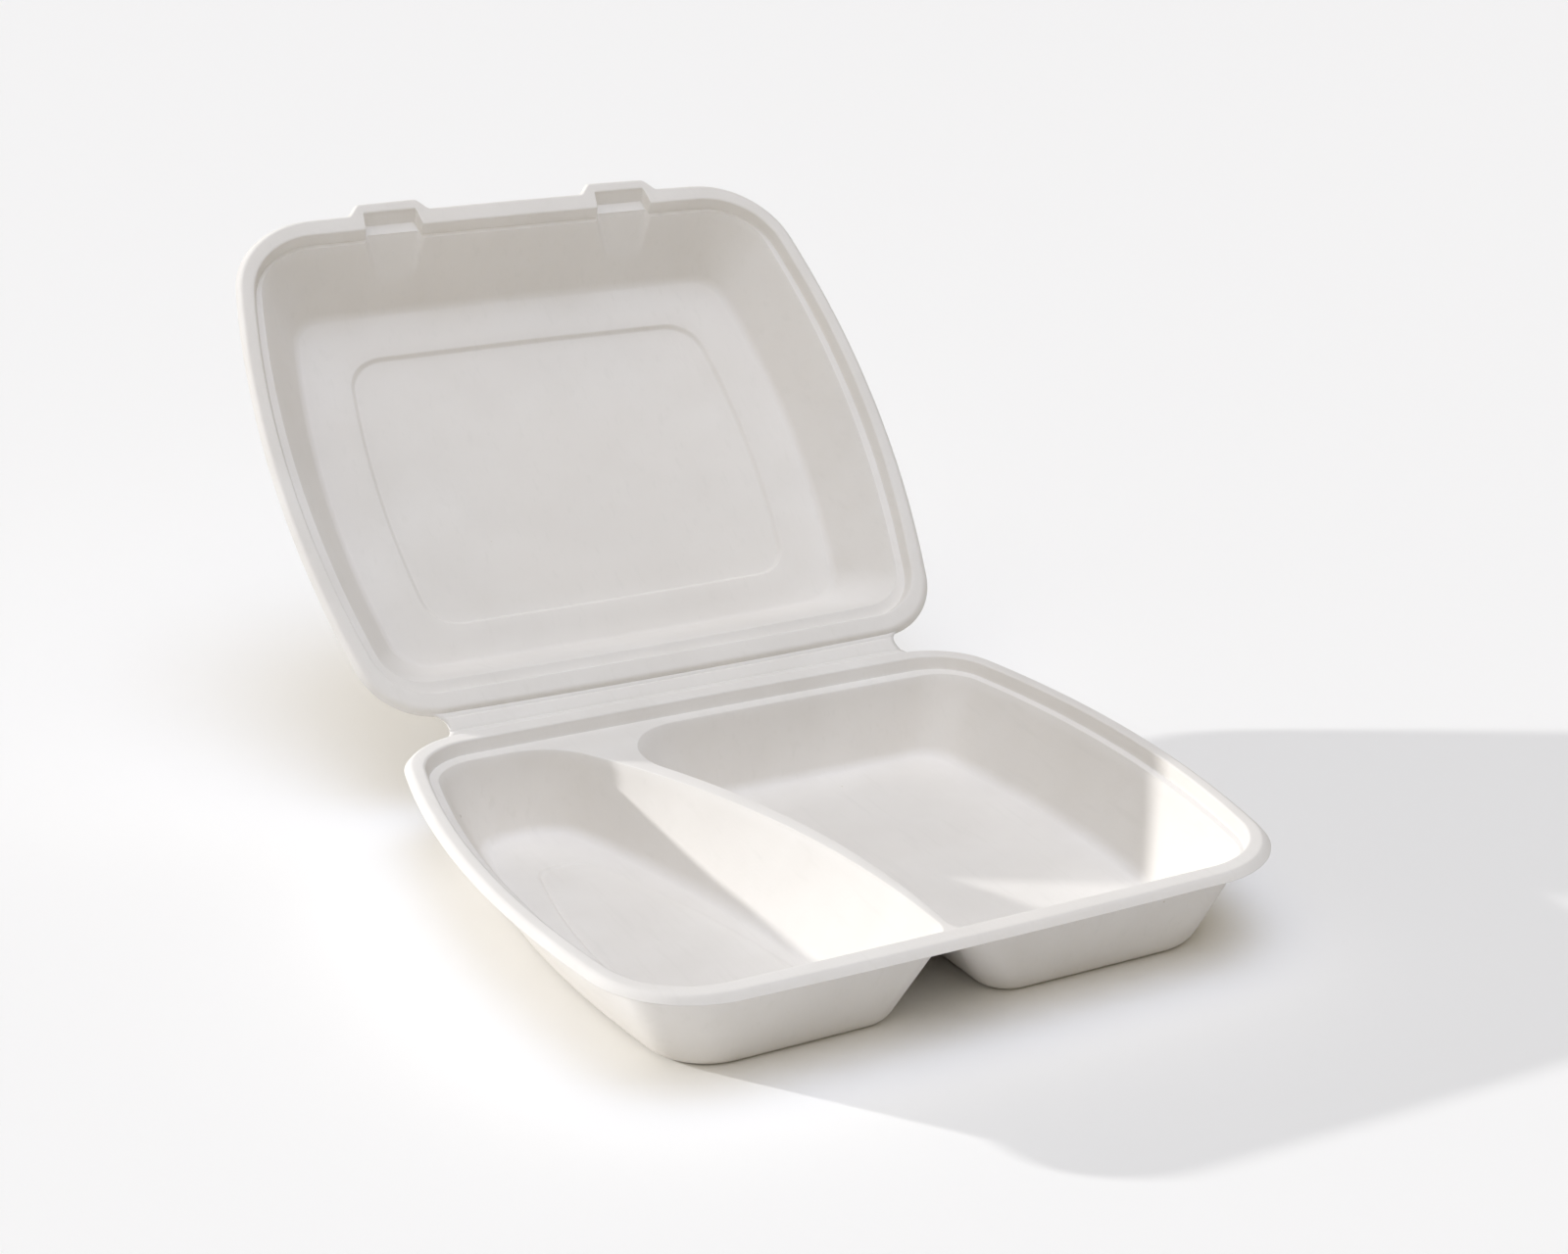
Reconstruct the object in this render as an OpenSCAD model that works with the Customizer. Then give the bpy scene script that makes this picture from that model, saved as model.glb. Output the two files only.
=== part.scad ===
// Meal box moulded from plant fibre: a tray with two compartments and a lid on a fold.
// Sizes are in millimetres. Z is up, the front edge faces -Y and the fold runs along +Y.

/* [Box] */
// Outside width of the rim, across the middle of its bowed sides
box_width = 235; // [232:0.5:238]
// Outside length of the rim, from the front edge to the fold edge
box_length = 206; // [204:0.5:208]
// Height of the tray's rim above the table
tray_height = 33; // [31:0.5:35]
// Depth of the lid, from its rim to the inside of its flat top
lid_depth = 28; // [26:0.5:30]
// Thickness of the fibre in the tray
tray_wall = 1.2; // [1:0.1:1.3]
// Thickness of the fibre in the lid
lid_wall = 0.8; // [0.7:0.1:0.9]
// How far the lid stands open from closed, in degrees
lid_angle = 137; // [0:1:180]
// How far the origin lies behind the middle of the tray, in the middle of the open box
origin_back = 81.45; // [0:0.05:120]

/* [Rim] */
// How far each side of the rim bows out
side_bow = 13; // [11:0.5:14]
// How far the front of the rim bows out
front_bow = 1.8; // [1:0.1:2.5]
// How far the fold side of the rim bows out
fold_bow = 1.2; // [0.6:0.1:1.6]
// Length that each front corner takes off the sides it joins
front_corner = 27; // [24:0.5:29]
// Length that each corner at the fold takes off the sides it joins
fold_corner = 21; // [19:0.5:23]
// Height of the turned lip round the rim
lip_height = 2.4; // [2:0.1:2.8]
// How far the lip flares out over its height
lip_flare = 1.7; // [1.2:0.1:2]
// Distance from the rim's outer edge to the inner edge of the flat flange, at the sides
flange_side = 5.9; // [5.6:0.1:6.2]
// The same distance at the front and at the fold
flange_end = 8.5; // [8.2:0.1:8.8]
// Depth of the step inside the flange
step_depth = 4.6; // [4.2:0.1:5]
// How far the step's riser leans in over its depth
step_lean = 1.3; // [1:0.1:1.5]
// Distance from the rim's outer edge to the top of the wall, at the sides
ledge_side = 10.2; // [10:0.1:10.6]
// The same distance at the front
ledge_front = 11.6; // [11.4:0.1:12]
// The same distance at the fold
ledge_fold = 14.4; // [14:0.1:14.8]

/* [Compartments] */
// Distance of the small compartment's foot from the middle, at its outer corners
small_foot_side = 85.5; // [84:0.5:87]
// Where the divider's edge starts at the fold, on the small compartment
crest_small_fold = -56; // [-57:0.5:-54]
// Where the divider's edge ends at the front, on the small compartment
crest_small_front = -7.5; // [-9:0.5:-6.5]
// How far that edge bows towards the large compartment
crest_small_bow = 14.6; // [13.4:0.2:15]
// Where the divider's edge starts at the fold, on the large compartment
crest_large_fold = -48.5; // [-49.5:0.5:-47]
// Where the divider's edge ends at the front, on the large compartment
crest_large_front = -5; // [-5.5:0.5:-4]
// How far that edge bows into the large compartment
crest_large_bow = 15.4; // [14.8:0.2:16]
// Length that the large compartment's wide corner takes off the sides it joins
crest_large_corner = 37; // [35:0.5:38]
// Foot of the small compartment's sloping wall, at the fold
small_slope_fold = -55.5; // [-56.5:0.5:-54]
// Foot of the small compartment's sloping wall, at the front
small_slope_front = -21.5; // [-23:0.5:-20]
// Foot of the large compartment's sloping wall, at the fold
large_slope_fold = -13; // [-15:0.5:-11]
// Foot of the large compartment's sloping wall, at the front
large_slope_front = 13.5; // [12:0.5:15]
// Distance of the large compartment's foot from the middle, at its outer corners
large_foot_side = 86; // [84:0.5:87]
// Half the length of both feet
foot_reach = 81; // [79:0.5:82]
// How far the feet bow out at the sides
foot_bow = 9; // [8:0.5:10]
// Size of the rounding where the walls meet the floors
foot_round = 3.4; // [2.8:0.2:4]
// Height of the shallow pad in the small compartment's floor
pad_rise = 0.6; // [0.4:0.1:0.8]
// Distance of that pad's outer edge from the middle of the box, at its corners
pad_side = 75; // [74:0.5:77]

/* [Lid] */
// Distance from the rim's outer edge to the lid's flat top, at the corners of the sides
top_side = 24.5; // [23:0.5:26]
// The same distance at the front
top_front = 27; // [25:0.5:28]
// The same distance at the fold
top_fold = 30.5; // [29:0.5:32]
// How far the sides of the flat top bow out
top_bow = 8; // [6:0.5:9]
// Half the width of the raised panel in the lid's top
panel_half_width = 73.5; // [70:0.5:75]
// Half the length of that panel
panel_half_length = 56.5; // [54:0.5:58]
// How far the panel stands out of the lid's top
panel_rise = 1; // [0.8:0.1:1.2]

/* [Lugs] */
// Distance of each lug from the middle of the lid's front edge
lug_place = 46; // [42:0.5:50]
// Half the width of a lug across its outer edge
lug_half_width = 11; // [10:0.5:12]
// How far a lug stands out past the rim
lug_reach = 4.7; // [4:0.1:5]
// Half the width of the recess in a lug
recess_half_width = 9.8; // [9:0.1:10]
// How far down the lid's wall the channel below a lug runs
channel_depth = 17.5; // [16:0.5:18]

/* [Fold] */
// Gap between the two rims when the lid is closed
closed_gap = 0.4; // [0.3:0.1:0.6]
// How far the line on which the lid turns lies behind the rim
fold_set_back = 4.2; // [4:0.1:4.4]
// Slope of the folded strip between the two rims
fold_slope = 21.5; // [20:0.5:23]
// Length of each half of the strip, on the face that folds inwards
fold_reach = 4.66; // [4.2:0.02:4.66]
// How much shorter each half is on its other face
fold_bevel = 0.46; // [0.4:0.02:0.6]
// Half the width of the strip
fold_half_width = 85; // [83:0.5:86]
// Radius of the strip's ends where it runs into the rims
fold_fillet = 4.5; // [4:0.1:5]
// Thickness of the strip
fold_wall = 0.8; // [0.6:0.05:0.8]

/* [Hidden] */
side_steps = 8;
corner_steps = 8;
cream = [0.93, 0.92, 0.89];
fold_line_y = box_length / 2 + fold_set_back;
fold_line_z = tray_height + closed_gap / 2;
round_levels = [[0, 0.72], [0.08, 0.42], [0.3, 0.12], [0.65, 0.02], [1, 0]];

// A ring is [corners, bows, cuts]: where its four sides would meet, how far each side
// bows out, and how much of the sides each corner's rounding takes. Sides run front,
// right, fold, left; corners run front left, front right, fold right, fold left.

// Point on a bowed side from a to b, at share t of its length
function along(a, b, bow, t) =
    let (d = b - a, out = [d[1], -d[0]] / norm(d))
    a + d * t + out * (4 * bow * t * (1 - t));

// Direction of that side at t
function heading(a, b, bow, t) =
    let (d = b - a, out = [d[1], -d[0]] / norm(d))
    d + out * (4 * bow * (1 - 2 * t));

// Where the line through p along u meets the line through q along v
function meet(p, u, q, v) = p + u * (cross(q - p, v) / cross(u, v));

// Rounded corner from p to q, tangent to both sides, with its sides meeting at c
function rounding(p, c, q, steps) =
    let (u = (c - p) / norm(c - p), v = (q - c) / norm(q - c))
    let (w = cos(acos(min(1, max(-1, u * v))) / 2))
    [for (k = [0:steps])
        let (t = k / steps, wt = 2 * w * t * (1 - t), s = (1 - t) * (1 - t), e = t * t)
        (p * s + c * wt + q * e) / (s + wt + e)];

// Closed outline of a ring, counter-clockwise
function outline(ring, n = side_steps, m = corner_steps) = [
    for (i = [0:3])
        let (h = (i + 3) % 4, j = (i + 1) % 4)
        let (a0 = ring[0][h], a1 = ring[0][i], b1 = ring[0][j])
        let (t0 = 1 - ring[2][i] / norm(a1 - a0), t1 = ring[2][i] / norm(b1 - a1))
        let (t2 = 1 - ring[2][j] / norm(b1 - a1))
        let (p = along(a0, a1, ring[1][h], t0), q = along(a1, b1, ring[1][i], t1))
        let (c = meet(p, heading(a0, a1, ring[1][h], t0), q, heading(a1, b1, ring[1][i], t1)))
        each concat(
            rounding(p, c, q, m),
            [for (k = [1:n - 1]) along(a1, b1, ring[1][i], t1 + (t2 - t1) * k / n)]
        )
];

// Corner i of a ring after both of its sides have moved outwards by d
function moved(c, i, d) =
    let (u = c[i] - c[(i + 3) % 4], v = c[(i + 1) % 4] - c[i])
    meet(c[i] + [u[1], -u[0]] * d / norm(u), u, c[i] + [v[1], -v[0]] * d / norm(v), v);

// A ring with its sides moved outwards by d
function grown(ring, d) = [
    [for (i = [0:3]) moved(ring[0], i, d)],
    ring[1],
    [for (c = ring[2]) max(c + 0.75 * d, 1.5)]
];

// The ring at share t of the way from one ring to another
function between(a, b, t) = [
    [for (i = [0:3]) a[0][i] * (1 - t) + b[0][i] * t],
    a[1] * (1 - t) + b[1] * t,
    a[2] * (1 - t) + b[2] * t
];

// A ring set in from the rim's outer edge
function rim_ring(side, front, fold, bows, cuts) =
    let (x = box_width / 2 - side - bows[1])
    let (yf = -box_length / 2 + front + bows[0], yb = box_length / 2 - fold - bows[2])
    [[[-x, yf], [x, yf], [x, yb], [-x, yb]], bows, cuts];

lip_ring = rim_ring(0, 0, 0, [front_bow, side_bow, fold_bow, side_bow],
    [front_corner, front_corner, fold_corner, fold_corner]);
edge_ring = grown(lip_ring, -lip_flare);
flange_ring = rim_ring(flange_side, flange_end, flange_end, [0.6, 12.2, 0.6, 12.2],
    [front_corner - 5, front_corner - 5, fold_corner - 4.5, fold_corner - 4.5]);
step_ring = rim_ring(flange_side + step_lean, flange_end + step_lean, flange_end + step_lean,
    [0.5, 11.6, 0.6, 11.6],
    [front_corner - 6, front_corner - 6, fold_corner - 5.5, fold_corner - 5.5]);
wall_ring = rim_ring(ledge_side, ledge_front, ledge_fold, [0.3, 10.4, 1.2, 10.4],
    [front_corner - 9.5, front_corner - 9.5, fold_corner - 8, fold_corner - 8]);

// Tops of the two compartments, with the divider's crest between them
small_top = [
    [wall_ring[0][0], [crest_small_front, wall_ring[0][0][1]],
        [crest_small_fold, wall_ring[0][3][1]], wall_ring[0][3]],
    [0.2, crest_small_bow, 0.6, wall_ring[1][3]],
    [wall_ring[2][0], 9, 14, wall_ring[2][3]]
];
large_top = [
    [[crest_large_front, wall_ring[0][1][1]], wall_ring[0][1],
        wall_ring[0][2], [crest_large_fold, wall_ring[0][2][1]]],
    [0.2, wall_ring[1][1], 0.6, -crest_large_bow],
    [9, wall_ring[2][1], wall_ring[2][2], crest_large_corner]
];
small_foot = [
    [[-small_foot_side, -foot_reach], [small_slope_front, -foot_reach],
        [small_slope_fold, foot_reach], [-small_foot_side, foot_reach]],
    [0.3, 5.8, 0.4, foot_bow],
    [15, 8, 11, 11]
];
large_foot = [
    [[large_slope_front, -foot_reach], [large_foot_side, -foot_reach],
        [large_foot_side, foot_reach], [large_slope_fold, foot_reach]],
    [0.3, foot_bow, 0.4, -5],
    [9, 15, 11, 11]
];
pad_ring = [
    [[-pad_side, 15 - foot_reach], [small_slope_front - 9, 15 - foot_reach],
        [small_slope_fold - 5, foot_reach - 19], [-pad_side, foot_reach - 19]],
    [0.3, 5.5, 0.2, 6.4],
    [12, 8, 5, 5]
];
lid_top_ring = rim_ring(top_side, top_front, top_fold, [0.5, top_bow, 0.8, top_bow],
    [17, 17, 14, 14]);
panel_ring = [
    [[-panel_half_width + 4.5, -panel_half_length + 0.4], [panel_half_width - 4.5, -panel_half_length + 0.4],
        [panel_half_width - 4.5, panel_half_length - 0.4], [-panel_half_width + 4.5, panel_half_length - 0.4]],
    [0.4, 4.5, 0.4, 4.5],
    [12, 12, 11, 11]
];

// Solid through a stack of [ring, depth] levels, with depth growing
module skin(levels) {
    n = 4 * (side_steps + corner_steps);
    last = len(levels) - 1;
    points = [for (l = levels) let (o = outline(l[0])) for (p = o) [p[0], p[1], l[1]]];
    sides = [for (k = [0:last - 1], i = [0:n - 1])
        let (j = (i + 1) % n)
        each [[k * n + i, (k + 1) * n + i, (k + 1) * n + j],
            [k * n + i, (k + 1) * n + j, k * n + j]]];
    first_cap = [[for (i = [0:n - 1]) i]];
    last_cap = [[for (i = [0:n - 1]) last * n + n - 1 - i]];
    polyhedron(points = points, faces = concat(first_cap, sides, last_cap), convexity = 6);
}

// Everything below is drawn with depth running up from the rim; the tray is turned over at the end.

// Outside of the rim: the flange's face, the lip, the hollow under the flange and the step
function rim_outer_levels(wall) = [
    [grown(edge_ring, -0.4), 0],
    [between(edge_ring, lip_ring, 0.5 / lip_height), 0.5],
    [lip_ring, lip_height - 0.4],
    [grown(lip_ring, -0.3), lip_height],
    [grown(lip_ring, 0.1 - wall), lip_height],
    [grown(edge_ring, -wall - 0.1), wall + 0.1],
    [grown(flange_ring, wall + 0.6), wall],
    [grown(flange_ring, wall), wall + 0.6],
    [grown(step_ring, wall), step_depth + wall - 0.6],
    [grown(step_ring, wall - 0.6), step_depth + wall]
];

// Space inside the rim, down to the ledge
rim_inner_levels = [
    [grown(flange_ring, 0.9), -0.5],
    [grown(flange_ring, 0.5), 0],
    [flange_ring, 0.6],
    [step_ring, step_depth - 0.5],
    [grown(step_ring, -0.4), step_depth]
];

// Rounded foot of a hollow that narrows from its top to its foot
function foot_levels(top, foot, to, grow, round) =
    [for (k = [len(round_levels) - 1:-1:0])
        let (l = round_levels[k], depth = to - round * l[0])
        [grown(between(top, foot, (depth - step_depth) / (to - step_depth)), grow - round * l[1]), depth]];

// Outside of a compartment or of the lid's dome, from just below the ledge
function outer_levels(top, foot, depth, wall) = concat([
    [grown(between(top, foot, 0.03), wall * 1.1 + 1.5), step_depth + wall + 0.1],
    [grown(between(top, foot, 0.08), wall * 1.1 + 0.5), step_depth + wall + 1.1],
    [grown(between(top, foot, 0.16), wall * 1.1), step_depth + wall + 2.6]
], foot_levels(top, foot, depth, wall * 1.1, foot_round + 0.4));

// Inside of a compartment or of the lid's dome, from the ledge
function inner_levels(top, foot, depth) = concat([
    [grown(top, 0.8), step_depth],
    [grown(top, 0.3), step_depth + 0.3],
    [top, step_depth + 0.9]
], foot_levels(top, foot, depth, 0, foot_round));

// Half of the strip that folds, as far as the line on which the lid turns
module fold_strip() {
    steps = 8;
    r = fold_fillet;
    function half(w) = fold_half_width + (w >= r ? 0 : r - sqrt(max(0, r * r - (r - w) * (r - w))));
    function reach(k) = k == 0 ? -0.4 : (fold_reach - fold_bevel) * pow(k / steps, 1.5);
    function across(y, w, z) = [[-w, y, z], [w, y, z]];
    translate([0, box_length / 2, lip_height]) rotate([-fold_slope, 0, 0])
        for (k = [0:steps - 1]) {
            near = reach(k);
            far = reach(k + 1);
            tip = k == steps - 1 ? fold_reach : far;
            hull() polyhedron(
                points = concat(
                    across(near, half(max(near, 0)), 0), across(far, half(far), 0),
                    across(near, half(max(near, 0)), -fold_wall), across(tip, half(far), -fold_wall)
                ),
                faces = [[0, 2, 3, 1], [4, 5, 7, 6], [0, 1, 5, 4], [1, 3, 7, 5], [3, 2, 6, 7], [2, 0, 4, 6]]
            );
        }
    // Root of the strip, inside the lip and across to its rounded corners
    translate([0, box_length / 2, lip_height - fold_wall - 0.05]) linear_extrude(height = fold_wall)
        polygon([[-half(0), 0], [half(0), 0], [half(0), -1.9], [80, -0.9], [-80, -0.9], [-half(0), -1.9]]);
}

// Corners of a trapezoid across a lug, from its inner edge to its outer edge
function lug_corners(wide, narrow, inner, outer, depth) =
    let (y = -box_length / 2)
    [[-narrow, y + outer, depth], [narrow, y + outer, depth], [wide, y + inner, depth], [-wide, y + inner, depth]];

// Solid between trapezoids at growing depths
module lug_block(levels) {
    n = len(levels);
    sides = [for (k = [0:n - 2], i = [0:3])
        let (j = (i + 1) % 4)
        each [[4 * k + i, 4 * k + 4 + i, 4 * k + 4 + j], [4 * k + i, 4 * k + 4 + j, 4 * k + j]]];
    hull() polyhedron(
        points = [for (l = levels) each lug_corners(l[0], l[1], l[2], l[3], l[4])],
        faces = concat([[0, 1, 2, 3]], sides, [[4 * n - 1, 4 * n - 2, 4 * n - 3, 4 * n - 4]])
    );
}

// The box round a lug's recess
module recess_box() {
    c = recess_half_width;
    lug_block([
        [c + 0.9, c + 0.9, 11, 0.1, 0.3],
        [c + 1.5, c + 1.3, 11, 2.8, step_depth + lid_wall]
    ]);
}

// A lug's outside: the widened lip, the recess below it and the channel down the wall
module lug_outside() {
    w = lug_half_width;
    c = recess_half_width;
    lug_block([
        [w + 4.4, w - 1, 5, 2.1 - lug_reach, 0.05],
        [w + 4.8, w - 0.6, 5, 1.3 - lug_reach, 0.5],
        [w + 5.6, w, 5, -lug_reach, lip_height - 0.4],
        [w + 5.4, w - 0.1, 5, 0.3 - lug_reach, lip_height - 0.05]
    ]);
    recess_box();
    lug_block([
        [c + 1.9, c - 1.2, 11.5, 7.5, step_depth],
        [c - 1.8, c - 3.9, 23, 19.2, channel_depth + 1.3]
    ]);
}

// The hollow under a lug's widened lip
module lug_hollow() {
    w = lug_half_width;
    difference() {
        lug_block([
            [w + 3.7, w - 1.5, 5.5, 2.7 - lug_reach, lid_wall],
            [w + 4.6, w - 0.7, 5.5, 0.9 - lug_reach, lip_height + 1.1]
        ]);
        recess_box();
    }
}

// The recess and the channel of a lug, as cut into the lid from inside
module lug_inside() {
    c = recess_half_width;
    lug_block([
        [c, c, 12.5, 0.8, -0.4],
        [c + 0.2, c + 0.1, 13, 1.5, 0.6],
        [c + 0.6, c + 0.4, 14, 3.7, step_depth + 0.05]
    ]);
    lug_block([
        [c + 0.9, c - 2, 14.5, 8.4, step_depth - 0.3],
        [c - 3, c - 4.8, 27, 20.3, channel_depth]
    ]);
}

// The whole tray
module tray_body() {
    deep = tray_height;
    plate = step_depth + tray_wall;
    difference() {
        union() {
            skin(rim_outer_levels(tray_wall));
            skin(concat([[grown(small_top, tray_wall * 1.1 + 1.6), plate - 0.5]],
                outer_levels(small_top, small_foot, deep, tray_wall)));
            skin(concat([[grown(large_top, tray_wall * 1.1 + 1.6), plate - 0.5]],
                outer_levels(large_top, large_foot, deep, tray_wall)));
        }
        skin(rim_inner_levels);
        skin(concat([[grown(small_top, 0.9), step_depth - 0.5]],
            inner_levels(small_top, small_foot, deep - tray_wall)));
        skin(concat([[grown(large_top, 0.9), step_depth - 0.5]],
            inner_levels(large_top, large_foot, deep - tray_wall)));
        skin([[grown(pad_ring, -0.6), deep - pad_rise], [grown(pad_ring, 0.6), deep + 0.5]]);
    }
    skin([
        [grown(pad_ring, -0.9), deep - tray_wall - pad_rise],
        [grown(pad_ring, 0.9), deep - tray_wall + 0.3]
    ]);
    fold_strip();
}

// The whole lid, as closed
module lid_body() {
    outside = lid_depth + lid_wall;
    difference() {
        union() {
            skin(concat(
                rim_outer_levels(lid_wall),
                outer_levels(wall_ring, lid_top_ring, outside, lid_wall),
                [[grown(panel_ring, 1.3), outside], [grown(panel_ring, 0.5), outside + panel_rise]]
            ));
            for (s = [-1, 1]) translate([s * lug_place, 0, 0]) lug_outside();
        }
        skin(concat(
            rim_inner_levels,
            inner_levels(wall_ring, lid_top_ring, lid_depth),
            [[grown(panel_ring, 0.8), lid_depth], [panel_ring, lid_depth + panel_rise]]
        ));
        for (s = [-1, 1]) translate([s * lug_place, 0, 0]) {
            lug_inside();
            lug_hollow();
        }
    }
    fold_strip();
}

module tray() {
    color(cream) translate([0, -origin_back, tray_height]) mirror([0, 0, 1]) tray_body();
}

module lid() {
    color(cream)
        translate([0, fold_line_y - origin_back, fold_line_z])
        rotate([-lid_angle, 0, 0])
        translate([0, -fold_line_y, tray_height + closed_gap - fold_line_z])
        lid_body();
}

tray();
lid();
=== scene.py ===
"""Meal box moulded from bleached plant fibre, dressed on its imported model.

The tray, the lid and the strip between them are one moulding. Every skin of it is a stack of
rings: four bowed sides with rounded corners, drawn at one depth below the rim. Sizes down to the
strip are in millimetres, in the tray's own frame. metres() moves them to the row's frame.
"""

import math

import bmesh
import bpy
import numpy as np
from mathutils import Matrix, Vector
from mathutils.geometry import delaunay_2d_cdt


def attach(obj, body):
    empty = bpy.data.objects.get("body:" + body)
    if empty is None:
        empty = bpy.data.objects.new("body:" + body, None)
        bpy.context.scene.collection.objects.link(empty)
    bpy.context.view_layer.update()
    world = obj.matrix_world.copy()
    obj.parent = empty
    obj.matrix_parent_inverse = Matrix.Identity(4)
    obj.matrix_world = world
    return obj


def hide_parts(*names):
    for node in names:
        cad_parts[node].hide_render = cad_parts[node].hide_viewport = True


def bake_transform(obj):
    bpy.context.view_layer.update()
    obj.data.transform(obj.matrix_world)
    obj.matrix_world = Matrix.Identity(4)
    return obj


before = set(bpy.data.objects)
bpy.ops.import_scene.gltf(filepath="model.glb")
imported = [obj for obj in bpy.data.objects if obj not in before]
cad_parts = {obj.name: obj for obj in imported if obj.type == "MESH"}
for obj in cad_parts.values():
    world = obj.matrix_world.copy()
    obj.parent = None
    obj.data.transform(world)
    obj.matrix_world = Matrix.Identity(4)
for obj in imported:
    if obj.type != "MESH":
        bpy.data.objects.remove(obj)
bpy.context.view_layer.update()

# Sizes of the box, as in the part's source
WIDTH = 235.0
LENGTH = 206.0
TRAY_HEIGHT = 33.0
LID_DEPTH = 28.0
TRAY_WALL = 1.2
LID_WALL = 0.8
LID_ANGLE = 137.0
ORIGIN_BACK = 81.45
LIP_HEIGHT = 2.4
LIP_FLARE = 1.7
STEP_DEPTH = 4.6
FOOT_ROUND = 3.4
PAD_RISE = 0.6
LUG_PLACE = 46.0
LUG_REACH = 4.7
CHANNEL_DEPTH = 17.5
CLOSED_GAP = 0.4
FOLD_LINE = (LENGTH / 2 + 4.2, TRAY_HEIGHT + CLOSED_GAP / 2)
FOLD_HALF_WIDTH = 85.0
FOLD_FILLET = 4.5
FOLD_WALL = 0.8

# Sizes that belong to this dressing: roundings, the pressed line, and the lugs' finer form
LIP_ROUND = 0.95
LIP_END_ROUND = 0.35
FLANGE_ROUND = 0.8
FLANGE_TUCK = 0.08
UNDER_FLANGE_ROUND = 0.7
LEDGE_ROUND = 0.2
UNDER_LEDGE_ROUND = ((0.4, 0.0), (0.2, 0.08), (0.07, 0.3))
LID_EDGE_ROUND = 0.25
TRAY_EDGE_ROUND = 0.6
LID_FOOT_ROUND = 2.3
OUTER_ROUND = 0.4
FOOT_INSET = 0.72
FOOT_CURVE = 1.15
SLANTED = 1.1
PANEL_RISE = 1.5
RISE_SOFTNESS = 1.0
GROOVE = 0.8
GROOVE_OUTER_SLOPE = 1.2
GROOVE_INNER_SLOPE = 4.5
RECESS_LOSS = 0.19
RECESS_REACH = 7.4
RECESS_HALF_WIDTH = 10.5
CHANNEL_REACH = 3.4
CHANNEL_HALF_WIDTH = 10.0
CHANNEL_TAPER = 4.3
UNEVENNESS = 0.07
FOLD_WIDTH = 9.7
FOLD_SAG = 0.16
FOLD_PRESSED = (2.7, 8.2)

# How far below the ledge a wall's own rows start, and how many there are down it and round its foot
LID_WALL_START = 0.5
WALL_START = 0.9
LID_ROWS = (14, 10)
TRAY_ROWS = (10, 12)
CENTRE_ROWS = 8


# Rings

def ring(corners, bows, cuts):
    """Four corners, how far each side bows out, and how much each corner's rounding takes."""
    return [np.array(corners, float), np.array(bows, float), np.array(cuts, float)]


def along(a, b, bow, t):
    """Points on a bowed side from a to b, at shares t of its length."""
    d = b - a
    out = np.array([d[1], -d[0]]) / np.hypot(*d)
    t = np.atleast_1d(t)[:, None]
    return a + d * t + out * (4 * bow * t * (1 - t))


def heading(a, b, bow, t):
    """Direction of that side at t."""
    d = b - a
    out = np.array([d[1], -d[0]]) / np.hypot(*d)
    return d + out * (4 * bow * (1 - 2 * t))


def cross(u, v):
    return u[0] * v[1] - u[1] * v[0]


def meet(p, u, q, v):
    """Where the line through p along u meets the line through q along v."""
    return p + u * (cross(q - p, v) / cross(u, v))


def grown(r, d):
    """A ring with its sides moved outwards by d."""
    c = r[0]
    moved = []
    for i in range(4):
        u, v = c[i] - c[(i + 3) % 4], c[(i + 1) % 4] - c[i]
        p = c[i] + np.array([u[1], -u[0]]) * d / np.hypot(*u)
        q = c[i] + np.array([v[1], -v[0]]) * d / np.hypot(*v)
        moved.append(meet(p, u, q, v))
    return [np.array(moved), r[1], np.maximum(r[2] + 0.75 * d, 1.5)]


def between(a, b, t):
    """The ring at share t of the way from one ring to another."""
    return [a[k] * (1 - t) + b[k] * t for k in range(3)]


SIDE_POINTS = (72, 56, 72, 56)
CORNER_POINTS = 20


def outline(r, front=None):
    """Closed outline of a ring, counter-clockwise. front places the points along its front side."""
    c, bows, cuts = r
    points = []
    for i in range(4):
        h, j = (i + 3) % 4, (i + 1) % 4
        a0, a1, b1 = c[h], c[i], c[j]
        t0 = 1 - cuts[i] / np.hypot(*(a1 - a0))
        t1 = cuts[i] / np.hypot(*(b1 - a1))
        t2 = 1 - cuts[j] / np.hypot(*(b1 - a1))
        p, q = along(a0, a1, bows[h], t0)[0], along(a1, b1, bows[i], t1)[0]
        x = meet(p, heading(a0, a1, bows[h], t0), q, heading(a1, b1, bows[i], t1))
        u, v = (x - p) / np.hypot(*(x - p)), (q - x) / np.hypot(*(q - x))
        w = math.cos(math.acos(max(-1.0, min(1.0, float(u @ v)))) / 2)
        t = np.linspace(0, 1, CORNER_POINTS + 1)[:, None]
        wt, s, e = 2 * w * t * (1 - t), (1 - t) ** 2, t * t
        points.append((p * s + x * wt + q * e) / (s + wt + e))
        if i == 0 and front is not None:
            half = (b1[0] - a1[0]) / 2
            reach = half * (1 - 2 * max(t1, 1 - t2)) - 0.6
            shares = 0.5 + front * min(1.0, reach / front[-1]) / (2 * half)
        else:
            n = SIDE_POINTS[i]
            shares = t1 + (t2 - t1) * np.arange(1, n) / n
        points.append(along(a1, b1, bows[i], shares))
    return np.vstack(points)


def rim_ring(side, front, fold, bows, cuts):
    """A ring set in from the rim's outer edge."""
    x = WIDTH / 2 - side - bows[1]
    y0, y1 = -LENGTH / 2 + front + bows[0], LENGTH / 2 - fold - bows[2]
    return ring([[-x, y0], [x, y0], [x, y1], [-x, y1]], bows, cuts)


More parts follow.
